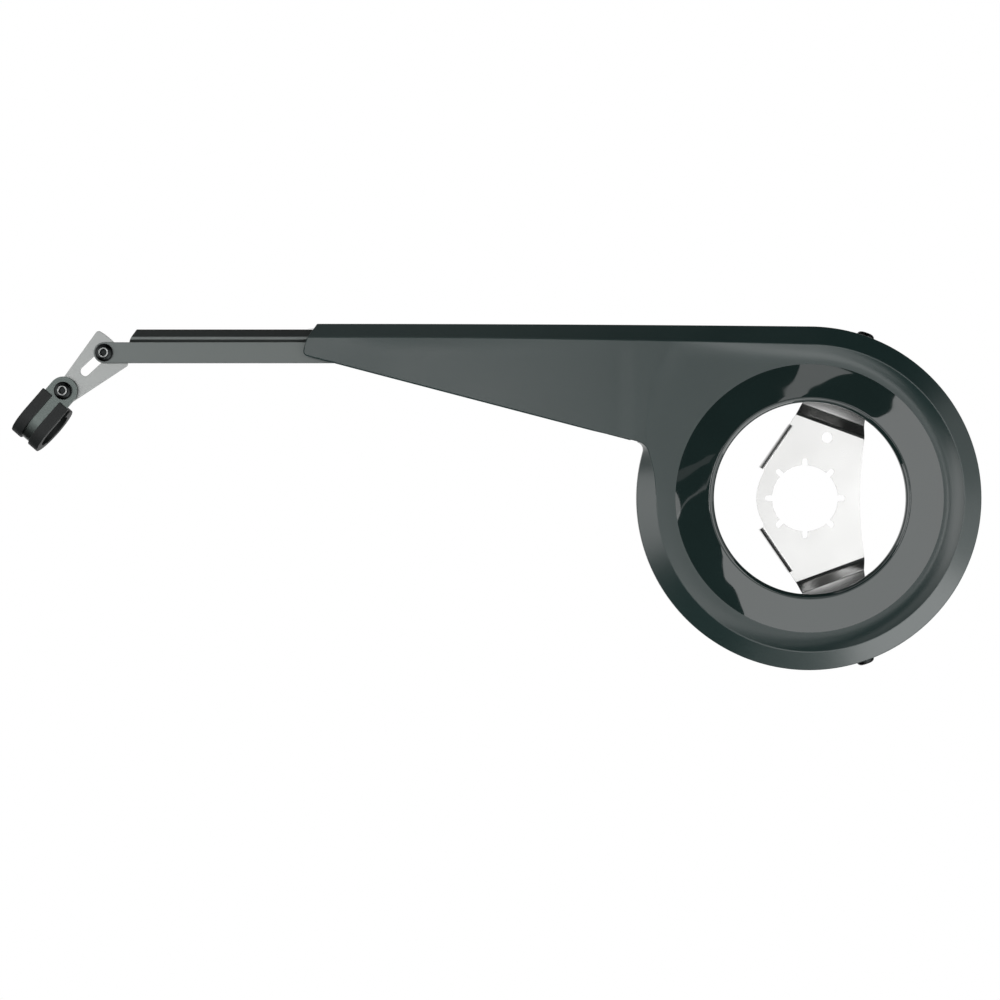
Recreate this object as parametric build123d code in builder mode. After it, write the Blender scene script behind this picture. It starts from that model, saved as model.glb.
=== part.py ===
import os
from math import atan, atan2, copysign, cos, degrees, radians, sin, sqrt, tan

from build123d import *

os.makedirs("parts", exist_ok=True)

# The bore axis is Y. Heights called "out" are measured outboard (-Y) from the bracket's seat face.

# Fits
hole_clearance = 0.1
thread_clearance = 0.05
tab_clearance = 0.8
roof_clearance = 0.7
ear_gap = 0.1
lining_gap = 0.05

# Guard shell
rim_radius = 90.0
crest_radius = 80.0
gloss_radius = 70.0
opening_radius = 50.0
shell_wall = 2.2
face_out = 21.0
crest_land = 0.8
ridge_height = 5.0
ridge_fade_x = -95.0
dish_overrun = 4.0
dish_hinge_margin = 15.0
bevel_depth = 6.5
rim_back_out = 1.0
collar_slope = 12.0
collar_roll_radius = 4.5
collar_edge_depth = 0.2

# Arm of the shell
arm_mid_x = -140.0
arm_rear_x = -262.6
arm_rear_z = 80.0
arm_mid_rise = 1.3
arm_rear_rise = 1.9
arm_mid_bevel = 7.9
arm_rear_bevel = 7.5
arm_rough_length = 15.0
arm_underside_angle = 14.8
arm_underside_rise = 5.6
arm_corner_radius = 3.2
arm_corner_flare = 0.05
arm_tip_radius = 4.5
arm_end_lean = 14.0
arm_end_sweep = 22.6

# Chain exit at the lower rear of the rim
exit_start_angle = 150.0
exit_end_angle = 250.0
exit_lip_out = 10.0
exit_margin = 36.0

# Screws and nuts
screw_radius = 2.5
head_radius = 4.75
head_height = 2.75
head_bevel = 2.1
socket_flat = 3.0
socket_depth = 1.6
nut_flat = 8.0
nut_height = 4.0
washer_radius = 5.0
washer_thickness = 1.0
seat_flat_depth = 0.15
seat_flat_margin = 0.75

# Bottom bracket plate
plate_thickness = 2.0
bore_radius = 17.5
bore_lock_count = 8
lock_notch_width = 3.0
lock_notch_depth = 3.8
plate_rear_width = 8.2
plate_front_width = 11.5
flange_foot_x = -24.0
flange_foot_z = 16.6
flange_step = 3.2
flange_depth = 7.0
flange_bend = 0.6
spoke_angle = 70.0
spoke_left = 19.8
spoke_right = 18.8
spoke_tab_width = 16.0
joggle_start = 40.0
joggle_run = 5.8
joggle_drop = 7.0
bend_radius = 3.0
tab_top_out = 14.0
rim_screw_out = 8.0
screw_length = 10.0
locating_hole_radius = 2.9
locating_hole_reach = 34.2

# Extension rail
web_out = 10.0
rail_wall = 2.0
web_height = 11.0
rail_lip_out = 12.2
rail_lip_height = 1.6
rail_lip_step = 1.2
rail_lip_round = 0.7
rail_shoulder_out = 7.5
rail_back_out = 1.5
rail_inner_x = -195.0
roof_inner_x = -225.0
roof_rear_x = -356.5
roof_end_lean = 27.0
pivot_x = -369.8
pivot_drop = 12.4

# Rail lock inside the arm
lock_x = -235.0
lock_radius = 2.0
lock_travel = 25.0
lock_head_radius = 4.0
lock_head_height = 2.4
lock_head_bevel = 1.2
lock_recess_width = 0.8
lock_recess_depth = 1.2
lock_washer_radius = 5.0
lock_washer_thickness = 1.0
lock_bite = 4.3
lock_pilot_spare = 0.3
pad_length = 44.0
pad_height = 7.0

# Link plate
link_thickness = 2.0
link_length = 29.4
link_angle = 43.0
link_reach = 36.8
link_corner_radius = 2.0
link_end_radius = 7.3
link_left_offset = 4.3
link_left_angle = 11.3
link_right_angle = 9.7
slot_near = 15.3
slot_far = 30.5

# Stay clip
clip_angle = 229.0
strap_width = 15.0
strap_thickness = 1.2
loop_reach = 20.2
stay_radius = 9.8
lining_thickness = 2.0
lining_width = 17.5
lining_lip = 1.1
lining_slot = 5.2
lining_end_gap = 15.0
lip_start = 5.6
base_start = 12.5
strap_bend_radius = 2.6

# Sizes that follow from the ones above
arm_top_mid = rim_radius + arm_mid_rise
arm_top_rear = rim_radius + arm_rear_rise
arm_crest_mid = arm_top_mid - arm_mid_bevel
arm_crest_rear = arm_top_rear - arm_rear_bevel
screw_hole_radius = screw_radius + hole_clearance
nut_bore_radius = screw_radius + thread_clearance
lock_pilot_radius = lock_radius + thread_clearance
rail_top = arm_top_rear - shell_wall - roof_clearance
pivot_z = rail_top - pivot_drop
lock_point = (lock_x, pivot_z)
pivot_point = (pivot_x, pivot_z)


def out_plane(out):
    return Plane.XZ.offset(out)


def seat_plane(point, out, facing):
    return Plane(origin=(point[0], -out, point[1]), x_dir=(1, 0, 0), z_dir=(0, facing, 0))


def turned(along, across, angle):
    turn = radians(angle)
    return (along * cos(turn) - across * sin(turn), along * sin(turn) + across * cos(turn))


def polar(radius, angle):
    return turned(radius, 0, angle)


def mirrored(point):
    return (point[0], -point[1])


# Front planes of the shell
lean = atan(ridge_height / (crest_radius - ridge_fade_x))
crest_out = face_out - ridge_fade_x * tan(lean)


def leaning_plane(out, tilt):
    return Plane(
        origin=(0, -out, 0),
        x_dir=(cos(tilt), -sin(tilt), 0),
        z_dir=(-sin(tilt), -cos(tilt), 0),
    )


underside = radians(arm_underside_angle)


def underside_point(rise, reach):
    return turned(reach, rise, -arm_underside_angle)


def arm_corner(radius, rise):
    return underside_point(rise, -sqrt((radius + arm_corner_flare) ** 2 - rise**2))


def corner_round(radius, corner):
    """Ends of the arc that rounds the corner between the ring's left side and the arm's underside."""
    step = -radius - corner[0]
    side_radius = (step**2 + corner[1] ** 2) / (2 * step)
    side_centre = Vector(-radius - side_radius, 0)
    rearward = Vector(*polar(-1, -arm_underside_angle))
    to_line = Vector(*turned(0, arm_corner_radius, -arm_underside_angle))
    from_side = Vector(*corner) - to_line - side_centre
    reach = from_side.dot(rearward)
    slack = from_side.dot(from_side) - (side_radius - arm_corner_radius) ** 2
    run = copysign(sqrt(reach**2 - slack), reach) - reach
    to_centre = from_side + rearward * run
    on_side = side_centre + to_centre.normalized() * abs(side_radius)
    on_underside = side_centre + to_centre + to_line
    return on_side, on_underside


def shell_outline(plane, radius, mid_top, rear_top, corner, rise, rear_x):
    rear_reach = (rear_x - rise * sin(underside)) / cos(underside)
    rear_low = underside_point(rise, rear_reach)
    on_side, on_underside = corner_round(radius, corner)
    with BuildSketch(plane) as outline:
        with BuildLine():
            ThreePointArc((rear_x, rear_top), (arm_mid_x, mid_top), (0, radius))
            ThreePointArc((0, radius), polar(radius, -45), (-radius, 0))
            side = TangentArc((-radius, 0), on_side, tangent=(0, 1))
            TangentArc(on_side, on_underside, tangent=side % 1)
            Polyline(on_underside, rear_low, (rear_x, rear_top))
        make_face()
    return outline


# Outer body of the shell with its bevelled rim
rough_rear_x = arm_rear_x - arm_rough_length
rim_corner = arm_corner(rim_radius, arm_underside_rise)
rim_tops = (arm_top_mid, arm_top_rear)
crest_tops = (arm_crest_mid, arm_crest_rear)
outer_ends = (rim_corner, arm_underside_rise, rough_rear_x)
rim_edge_plane = leaning_plane(crest_out - bevel_depth, lean)
rim_back_outline = shell_outline(out_plane(rim_back_out), rim_radius, *rim_tops, *outer_ends)
rim_edge_outline = shell_outline(rim_edge_plane, rim_radius, *rim_tops, *outer_ends)
crest_outline = shell_outline(leaning_plane(crest_out, lean), crest_radius, *crest_tops, *outer_ends)
with BuildPart() as outer_body:
    loft([rim_back_outline.sketch, rim_edge_outline.sketch, crest_outline.sketch], ruled=True)

# Dished face inside the crest, shallower toward the arm
dish_left_x = ridge_fade_x - dish_overrun
dish_hinge_x = ridge_fade_x - dish_hinge_margin
dish_lean = ridge_height / (crest_radius - dish_hinge_x)
dish_width = crest_radius - crest_land - gloss_radius
crest_top_left = crest_radius + (arm_crest_mid - crest_radius) * dish_left_x / arm_mid_x
with BuildPart() as dish:
    for step in (0.0, 0.5, 1.0, 1.5):
        tilt = atan(step**2 * dish_lean)
        radius = gloss_radius + step * dish_width
        top_left = crest_top_left - crest_land + (step - 1) * dish_width
        with BuildSketch(leaning_plane(face_out - dish_hinge_x * tan(tilt), tilt)):
            with BuildLine():
                Line((dish_left_x, top_left), (0, radius))
                ThreePointArc((0, radius), polar(radius, -45), (-radius, 0))
                Polyline((-radius, 0), (dish_left_x, rim_corner[1]), (dish_left_x, top_left))
            make_face()
    loft()

# Hollow behind the face, open at the arm's underside and rear
bevel_slope = atan(bevel_depth / (rim_radius - crest_radius))
edge_drop = shell_wall * tan((radians(90) - bevel_slope) / 2)
crest_inset = shell_wall * tan(bevel_slope / 2)
hollow_radius = rim_radius - shell_wall
hollow_rise = arm_underside_rise - 2 * shell_wall
hollow_corner = arm_corner(hollow_radius, hollow_rise)
hollow_tops = (arm_top_mid - shell_wall, arm_top_rear - shell_wall)
hollow_crest_tops = (arm_crest_mid - crest_inset, arm_crest_rear - crest_inset)
hollow_ends = (hollow_corner, hollow_rise, rough_rear_x - shell_wall)
hollow_back_plane = out_plane(rim_back_out - shell_wall)
hollow_edge_plane = leaning_plane(crest_out - bevel_depth - edge_drop, lean)
hollow_crest_plane = leaning_plane(crest_out - shell_wall, lean)
hollow_back = shell_outline(hollow_back_plane, hollow_radius, *hollow_tops, *hollow_ends)
hollow_edge = shell_outline(hollow_edge_plane, hollow_radius, *hollow_tops, *hollow_ends)
hollow_crest = shell_outline(
    hollow_crest_plane, crest_radius - crest_inset, *hollow_crest_tops, *hollow_ends
)
with BuildPart() as hollow:
    loft([hollow_back.sketch, hollow_edge.sketch, hollow_crest.sketch], ruled=True)
    add(dish.part.moved(Location((0, shell_wall, 0))), mode=Mode.SUBTRACT)

radial_plane = Plane(origin=(0, 0, 0), x_dir=(1, 0, 0), z_dir=(0, 0, -1))
collar_rise = tan(radians(collar_slope)) * (gloss_radius - opening_radius)
collar_back = face_out - shell_wall
collar_inner = opening_radius + shell_wall
roll_height = collar_roll_radius / tan(radians(90 - collar_slope) / 2)
collar_back_out = face_out + collar_rise - roll_height - collar_edge_depth
collar_inner_rise = tan(radians(collar_slope)) * (gloss_radius - collar_inner)
end_up = Vector(sin(radians(arm_end_lean)), 0, cos(radians(arm_end_lean)))
end_in = Vector(sin(radians(arm_end_sweep)), cos(radians(arm_end_sweep)), 0)
arm_end_out = crest_out + arm_rear_x * tan(lean)
arm_end_plane = Plane(origin=(arm_rear_x, -arm_end_out, arm_rear_z), z_dir=end_up.cross(end_in))
end_slope = tan(radians(arm_end_lean))
under_x, under_z = underside_point(arm_underside_rise, 0)
arm_tip_z = under_z - (arm_rear_x - arm_rear_z * end_slope - under_x) * tan(underside)
arm_tip_z = arm_tip_z / (1 + end_slope * tan(underside))
arm_tip_x = arm_rear_x + (arm_tip_z - arm_rear_z) * end_slope
tip_centre_x = arm_tip_x + arm_tip_radius * (end_up.X + cos(underside))
tip_centre_z = arm_tip_z + arm_tip_radius * (end_up.Z - sin(underside))
exit_mid_angle = (exit_start_angle + exit_end_angle) / 2
exit_reach = rim_radius + exit_margin
exit_corner_reach = exit_reach / cos(radians(exit_end_angle - exit_mid_angle))
seat_radius = rim_radius - seat_flat_depth
outward = 1
inward = -1
inboard = 1
outboard = -1


def rim_seat(angle, distance, facing):
    x, z = polar(1, angle)
    return Plane(
        origin=(x * distance, -rim_screw_out, z * distance),
        x_dir=(0, -1, 0),
        z_dir=(facing * x, 0, facing * z),
    )


# Pad inside the arm that the rail's web is clamped to
with BuildPart() as pad:
    with BuildSketch(out_plane(web_out)):
        with Locations(lock_point):
            Rectangle(pad_length, pad_height)
    extrude(amount=face_out)
    add(outer_body.part.moved(Location((0, shell_wall / 2, 0))), mode=Mode.INTERSECT)

# Guard shell, one moulding
with BuildPart() as guard_shell:
    add(outer_body.part)
    add(dish.part, mode=Mode.SUBTRACT)
    add(hollow.part, mode=Mode.SUBTRACT)
    # Crank opening and the polished collar round it
    with BuildSketch(out_plane(0)):
        Circle(gloss_radius)
    extrude(amount=face_out * 2, mode=Mode.SUBTRACT)
    with BuildSketch(radial_plane) as collar:
        with BuildLine():
            Polyline(
                (gloss_radius, face_out),
                (opening_radius, face_out + collar_rise),
                (opening_radius, collar_back_out),
                (collar_inner, collar_back_out),
                (collar_inner, collar_back + collar_inner_rise),
                (gloss_radius, collar_back),
                close=True,
            )
        make_face()
        fillet(collar.vertices().sort_by(Axis.Y)[-1], radius=collar_roll_radius)
    revolve(axis=Axis.Y)
    # Chain exit window
    with BuildSketch(out_plane(0)):
        with BuildLine():
            Polyline(
                polar(gloss_radius, exit_start_angle),
                polar(exit_reach, exit_start_angle),
                polar(exit_corner_reach, exit_mid_angle),
                polar(exit_reach, exit_end_angle),
                polar(gloss_radius, exit_end_angle),
                close=True,
            )
        make_face()
    extrude(amount=exit_lip_out, mode=Mode.SUBTRACT)
    # Slanted rear end of the arm
    split(bisect_by=arm_end_plane, keep=Keep.BOTTOM)
    with BuildSketch(out_plane(0)):
        with Locations(Location((tip_centre_x, tip_centre_z, 0), (0, 0, -arm_underside_angle))):
            Rectangle(2 * arm_tip_radius, 2 * arm_tip_radius, align=(Align.MAX, Align.MAX))
            Circle(arm_tip_radius, mode=Mode.SUBTRACT)
    extrude(amount=face_out, mode=Mode.SUBTRACT)
    # Flats and holes for the rim screws
    for angle in (spoke_angle, -spoke_angle):
        with BuildSketch(rim_seat(angle, seat_radius, outward)):
            Circle(head_radius + seat_flat_margin)
        extrude(amount=head_height, mode=Mode.SUBTRACT)
        with BuildSketch(rim_seat(angle, seat_radius, inward)):
            Circle(screw_hole_radius)
        extrude(amount=2 * shell_wall, mode=Mode.SUBTRACT)
    # Pad with the pilot hole of the lock screw
    add(pad.part)
    with BuildSketch(seat_plane(lock_point, web_out, outboard)):
        Circle(lock_pilot_radius)
    extrude(amount=lock_bite + lock_pilot_spare, mode=Mode.SUBTRACT)


def spoke_point(along, across):
    return turned(along, -across, spoke_angle)


# Upper spoke of the bracket: joggled inboard, then bent out to a tab under the rim
tab_reach = rim_radius - shell_wall - tab_clearance
spoke_left_top = spoke_point(joggle_start, -spoke_left)
spoke_right_top = spoke_point(joggle_start, spoke_right)
spoke_root = joggle_start - 2 * plate_thickness
spoke_x, spoke_z = polar(1, spoke_angle)
spoke_profile = Plane(origin=(0, 0, 0), x_dir=(spoke_x, 0, spoke_z), z_dir=(spoke_z, 0, -spoke_x))
with BuildPart() as spoke:
    with BuildSketch(spoke_profile):
        with BuildLine():
            back_line = FilletPolyline(
                (spoke_root, 0),
                (joggle_start, 0),
                (joggle_start + joggle_run, -joggle_drop),
                (tab_reach, -joggle_drop),
                (tab_reach, tab_top_out),
                radius=bend_radius,
            )
            offset(back_line, amount=plate_thickness, side=Side.LEFT)
        make_face()
    extrude(amount=rim_radius, both=True)
    with BuildSketch(out_plane(-rim_radius)):
        with BuildLine():
            Polyline(
                spoke_left_top,
                spoke_point(tab_reach, -spoke_tab_width / 2),
                spoke_point(tab_reach + plate_thickness, -spoke_tab_width / 2),
                spoke_point(tab_reach + plate_thickness, spoke_tab_width / 2),
                spoke_point(tab_reach, spoke_tab_width / 2),
                spoke_right_top,
                spoke_point(spoke_root, spoke_right),
                spoke_point(spoke_root, -spoke_left),
                close=True,
            )
        make_face()
    extrude(amount=2 * rim_radius, mode=Mode.INTERSECT)
    with BuildSketch(rim_seat(spoke_angle, tab_reach, inward)):
        Circle(screw_hole_radius)
    extrude(amount=plate_thickness, mode=Mode.SUBTRACT)

# Flange along the upper rear edge of the bracket, bent inboard
edge_x = spoke_left_top[0] - flange_foot_x
edge_z = spoke_left_top[1] - flange_foot_z
edge_length = sqrt(edge_x**2 + edge_z**2)
edge_x, edge_z = edge_x / edge_length, edge_z / edge_length
flange_length = edge_length - 2 * bend_radius
bend_outer = flange_bend + plate_thickness
bend_mid = bend_outer * (1 - sqrt(0.5))
bend_mid_inner = bend_outer - flange_bend * sqrt(0.5)
flange_low = plate_thickness - flange_depth


def edge_point(along, inward):
    return (
        flange_foot_x + along * edge_x + inward * edge_z,
        flange_foot_z + along * edge_z - inward * edge_x,
    )


flange_plane = Plane(
    origin=(flange_foot_x, 0, flange_foot_z), x_dir=(edge_z, 0, -edge_x), z_dir=(-edge_x, 0, -edge_z)
)
with BuildPart() as flange:
    with BuildSketch(flange_plane):
        with BuildLine():
            ThreePointArc(
                (bend_outer, plate_thickness),
                (bend_mid, plate_thickness - bend_mid),
                (0, plate_thickness - bend_outer),
            )
            Polyline(
                (0, plate_thickness - bend_outer),
                (0, flange_low),
                (plate_thickness, flange_low),
                (plate_thickness, -flange_bend),
            )
            ThreePointArc(
                (plate_thickness, -flange_bend),
                (bend_mid_inner, plate_thickness - bend_mid_inner),
                (bend_outer, 0),
            )
            Line((bend_outer, 0), (bend_outer, plate_thickness))
        make_face()
    extrude(amount=-flange_length)

# Bottom bracket plate
plate_rear_radius = bore_radius + plate_rear_width
lock_notch_reach = bore_radius + lock_notch_depth
rear_z = flange_foot_z - flange_step
rear_top = (-sqrt(plate_rear_radius**2 - rear_z**2), rear_z)
rear_edge = [
    spoke_right_top,
    spoke_left_top,
    edge_point(flange_length, 0),
    edge_point(flange_length, bend_outer),
    edge_point(0, bend_outer),
    rear_top,
]
notch_inner = bore_radius - lock_notch_width
with BuildPart() as bb_bracket:
    with BuildSketch(out_plane(0)):
        with BuildLine():
            Polyline(*rear_edge)
            ThreePointArc(rear_top, (-plate_rear_radius, 0), mirrored(rear_top))
            Polyline(*[mirrored(point) for point in reversed(rear_edge)])
            ThreePointArc(mirrored(spoke_right_top), (bore_radius + plate_front_width, 0), spoke_right_top)
        make_face()
    extrude(amount=plate_thickness)
    for half in (spoke, flange):
        add(half.part)
        add(mirror(half.part, about=Plane.XY, mode=Mode.PRIVATE))
    # Bore with its lock notches, and the locating hole
    with BuildSketch(out_plane(0)):
        Circle(bore_radius)
        with PolarLocations((notch_inner + lock_notch_reach) / 2, bore_lock_count):
            SlotOverall(lock_notch_reach - notch_inner, lock_notch_width)
        with Locations(spoke_point(locating_hole_reach, 0)):
            Circle(locating_hole_radius)
    extrude(amount=plate_thickness, mode=Mode.SUBTRACT)


def button_screw(plane, length):
    axis = Axis(plane.origin, plane.z_dir)
    with BuildPart() as screw:
        with BuildSketch(plane):
            Circle(head_radius)
        extrude(amount=head_height)
        chamfer(screw.faces().sort_by(axis)[-1].edges(), length=head_bevel)
        with BuildSketch(plane):
            Circle(screw_radius)
        extrude(amount=-length)
        with BuildSketch(plane.offset(head_height)):
            RegularPolygon(socket_flat / 2, 6, major_radius=False)
        extrude(amount=-socket_depth, mode=Mode.SUBTRACT)
    return screw


def hex_nut(plane):
    with BuildPart() as nut:
        with BuildSketch(plane):
            RegularPolygon(nut_flat / 2, 6, major_radius=False)
            Circle(nut_bore_radius, mode=Mode.SUBTRACT)
        extrude(amount=nut_height)
    return nut


def washer(plane, radius, bore, thickness):
    with BuildPart() as ring:
        with BuildSketch(plane):
            Circle(radius)
            Circle(bore, mode=Mode.SUBTRACT)
        extrude(amount=thickness)
    return ring


# Rim screws and their nuts behind the tabs
upper_rim_screw = button_screw(rim_seat(spoke_angle, seat_radius, outward), screw_length)
lower_rim_screw = button_screw(rim_seat(-spoke_angle, seat_radius, outward), screw_length)
upper_rim_nut = hex_nut(rim_seat(spoke_angle, tab_reach - plate_thickness, inward))
lower_rim_nut = hex_nut(rim_seat(-spoke_angle, tab_reach - plate_thickness, inward))

# Extension rail: web with a round end, roof with a rolled lip
section_plane = Plane(origin=(0, 0, 0), x_dir=(0, -1, 0), z_dir=(-1, 0, 0))
web_top = pivot_z + web_height / 2
web_back_out = web_out - rail_wall
lock_slot_width = 2 * (lock_radius + hole_clearance)
lip_low = web_top + rail_lip_step
lip_high = lip_low + rail_lip_height
shoulder_slope = (rail_top - lip_high) / (rail_lip_out - rail_shoulder_out)
inner_top = rail_top - rail_wall
inner_shoulder = rail_shoulder_out - rail_wall * tan(atan(shoulder_slope) / 2)
inner_corner = inner_top - (web_back_out - inner_shoulder) * shoulder_slope
with BuildPart() as extension_rail:
    with BuildSketch(section_plane.offset(-roof_inner_x)) as roof:
        with BuildLine():
            Polyline(
                (web_out, web_top),
                (rail_lip_out, lip_low),
                (rail_lip_out, lip_high),
                (rail_shoulder_out, rail_top),
                (rail_back_out, rail_top),
                (rail_back_out, inner_top),
                (inner_shoulder, inner_top),
                (web_back_out, inner_corner),
                (web_back_out, web_top - rail_wall),
                (web_out, web_top - rail_wall),
                close=True,
            )
        make_face()
        fillet(roof.vertices().group_by(Axis.X)[-1], radius=rail_lip_round)
    extrude(amount=roof_inner_x - roof_rear_x + rail_top - web_top)
    split(
        bisect_by=Plane(
            origin=(roof_rear_x, 0, web_top),
            x_dir=(0, 1, 0),
            z_dir=(cos(radians(roof_end_lean)), 0, -sin(radians(roof_end_lean))),
        ),
        keep=Keep.TOP,
    )
    with BuildSketch(out_plane(web_back_out)):
        with Locations(((rail_inner_x + pivot_x) / 2, pivot_z)):
            Rectangle(rail_inner_x - pivot_x, web_height)
        with Locations(pivot_point):
            Circle(web_height / 2)
            Circle(screw_hole_radius, mode=Mode.SUBTRACT)
        with Locations(lock_point):
            SlotCenterToCenter(2 * lock_travel, lock_slot_width, mode=Mode.SUBTRACT)
    extrude(amount=rail_wall)

# Lock screw of the rail with its washer, driven from behind
washer_seat = seat_plane(lock_point, web_back_out, inboard)
rail_lock_washer = washer(washer_seat, lock_washer_radius, lock_pilot_radius, lock_washer_thickness)
lock_seat = seat_plane(lock_point, web_back_out - lock_washer_thickness, inboard)
with BuildPart() as rail_lock_screw:
    with BuildSketch(lock_seat):
        Circle(lock_head_radius)
    extrude(amount=lock_head_height)
    chamfer(rail_lock_screw.faces().sort_by(Axis.Y)[-1].edges(), length=lock_head_bevel)
    with BuildSketch(lock_seat.offset(lock_head_height)):
        Rectangle(lock_head_radius, lock_recess_width)
        Rectangle(lock_recess_width, lock_head_radius)
    extrude(amount=-lock_recess_depth, mode=Mode.SUBTRACT)
    with BuildSketch(lock_seat):
        Circle(lock_radius)
    extrude(amount=-lock_washer_thickness - rail_wall - lock_bite)

# Link plate with its adjusting slot, behind the web
link_x, link_z = polar(1, link_angle)
clip_point = (pivot_x - link_length * link_x, pivot_z - link_length * link_z)
link_out = web_back_out - link_thickness
link_plane = Plane(
    origin=(clip_point[0], -link_out, clip_point[1]), x_dir=(link_x, 0, link_z), z_dir=(0, -1, 0)
)
left_reach = sqrt(link_reach**2 - link_left_offset**2)
left_foot = sqrt(link_end_radius**2 - link_left_offset**2)
right_reach = sqrt(link_reach**2 - link_end_radius**2)
link_far_left = turned(left_reach, link_left_offset, link_left_angle)
link_low_left = turned(-left_foot, link_left_offset, link_left_angle)
link_far_right = turned(right_reach, -link_end_radius, -link_right_angle)
link_low_right = turned(0, -link_end_radius, -link_right_angle)
with BuildPart() as link_plate:
    with BuildSketch(link_plane) as link_outline:
        with BuildLine():
            Line(link_low_left, link_far_left)
            ThreePointArc(link_far_left, (link_reach, 0), link_far_right)
            Line(link_far_right, link_low_right)
            ThreePointArc(link_low_right, (-link_end_radius, 0), link_low_left)
        make_face()
        far_corners = link_outline.vertices().sort_by(Axis.X)[-2:]
        fillet(far_corners, radius=link_corner_radius)
        with Locations(((slot_near + slot_far) / 2, 0)):
            SlotCenterToCenter(slot_far - slot_near, 2 * screw_hole_radius, mode=Mode.SUBTRACT)
        Circle(screw_hole_radius, mode=Mode.SUBTRACT)
    extrude(amount=link_thickness)

slot_screw = button_screw(seat_plane(pivot_point, web_out, outboard), screw_length)
slot_seat = seat_plane(pivot_point, link_out, inboard)
slot_washer = washer(slot_seat, washer_radius, nut_bore_radius, washer_thickness)
slot_nut = hex_nut(slot_seat.offset(washer_thickness))

# Strap of the stay clip: two ears and a loop
rear_ear_out = web_back_out + strap_thickness / 2
front_ear_out = rear_ear_out + strap_thickness + ear_gap
loop_mid = stay_radius + lining_thickness + strap_thickness / 2
loop_out = front_ear_out - loop_mid
bend_out = rear_ear_out - strap_bend_radius
bend_rise = bend_out - loop_out
bend_spread = sqrt((loop_mid + strap_bend_radius) ** 2 - bend_rise**2)
bend_reach = loop_reach - bend_spread
bend_angle = degrees(atan2(bend_rise, -bend_spread))
ear_tip = -strap_width
clip_x, clip_z = polar(1, clip_angle)
clip_plane = Plane(
    origin=(clip_point[0], 0, clip_point[1]), x_dir=(clip_x, 0, clip_z), z_dir=(clip_z, 0, -clip_x)
)
ear_plane = Plane(
    origin=(clip_point[0], 2 * loop_mid, clip_point[1]), x_dir=(clip_x, 0, clip_z), z_dir=(0, -1, 0)
)
with BuildPart() as clip_strap:
    with BuildSketch(clip_plane):
        with BuildLine():
            Line((ear_tip, front_ear_out), (loop_reach, front_ear_out))
            CenterArc((loop_reach, loop_out), loop_mid, 90, bend_angle - 450)
            CenterArc((bend_reach, bend_out), strap_bend_radius, bend_angle - 180, 270 - bend_angle)
            Line((bend_reach, rear_ear_out), (ear_tip, rear_ear_out))
        trace(line_width=strap_thickness)
    extrude(amount=strap_width / 2, both=True)
    with BuildSketch(ear_plane):
        Circle(strap_width / 2)
        with Locations((loop_reach, 0)):
            Rectangle(2 * loop_reach, strap_width)
    extrude(amount=4 * loop_mid, mode=Mode.INTERSECT)
    with BuildSketch(ear_plane):
        Circle(screw_hole_radius)
    extrude(amount=4 * loop_mid, mode=Mode.SUBTRACT)

# Rubber lining: a channel round the strap, its lips turned over the strap's edges
loop_centre = clip_plane.from_local_coords((loop_reach, loop_out, 0))
lining_plane = Plane(
    origin=loop_centre, x_dir=(clip_z, 0, -clip_x), z_dir=(-clip_x, 0, -clip_z)
)
strap_inner = loop_mid - strap_thickness / 2
strap_outer = loop_mid + strap_thickness / 2
lip_outer = strap_outer + lining_gap + lining_lip
channel_width = strap_width + 2 * lining_gap
channel_height = strap_thickness + 2 * lining_gap
lining_arc = 450 - bend_angle - lining_end_gap
loop_axis = Axis(loop_centre, (-clip_z, 0, clip_x))


def lining_section(bottom):
    with BuildSketch(lining_plane) as section:
        with Locations((0, (bottom + lip_outer) / 2)):
            Rectangle(lining_width, lip_outer - bottom)
        with Locations((0, loop_mid)):
            Rectangle(channel_width, channel_height, mode=Mode.SUBTRACT)
        with Locations((0, lip_outer)):
            Rectangle(lining_slot, 2 * lining_lip + lining_gap, mode=Mode.SUBTRACT)
    return section


whole_section = lining_section(stay_radius)
lip_section = lining_section(strap_inner - lining_gap)
with BuildPart() as clip_lining:
    extrude(whole_section.sketch, amount=loop_reach - base_start)
    extrude(lip_section.sketch, amount=loop_reach - lip_start)
    revolve(whole_section.sketch, axis=loop_axis, revolution_arc=lining_arc)

ear_face_out = front_ear_out + strap_thickness / 2
clip_screw = button_screw(seat_plane(clip_point, ear_face_out, outboard), screw_length)
clip_nut = hex_nut(seat_plane(clip_point, link_out, inboard))

pieces = {
    "guard_shell": guard_shell,
    "bb_bracket": bb_bracket,
    "upper_rim_screw": upper_rim_screw,
    "lower_rim_screw": lower_rim_screw,
    "upper_rim_nut": upper_rim_nut,
    "lower_rim_nut": lower_rim_nut,
    "extension_rail": extension_rail,
    "rail_lock_screw": rail_lock_screw,
    "rail_lock_washer": rail_lock_washer,
    "link_plate": link_plate,
    "slot_screw": slot_screw,
    "slot_washer": slot_washer,
    "slot_nut": slot_nut,
    "clip_strap": clip_strap,
    "clip_lining": clip_lining,
    "clip_screw": clip_screw,
    "clip_nut": clip_nut,
}
for name, piece in pieces.items():
    piece.part.label = name
    export_step(piece.part, f"parts/{name}.step")
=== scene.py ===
"""Finished looks of a bicycle chain guard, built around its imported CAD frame."""
from collections import namedtuple
from math import asin, cos, hypot, pi, radians, sin, sqrt, tan, tau

import bmesh
import bpy
from bpy.props import FloatProperty, FloatVectorProperty, PointerProperty
from mathutils import Matrix, Vector


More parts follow.
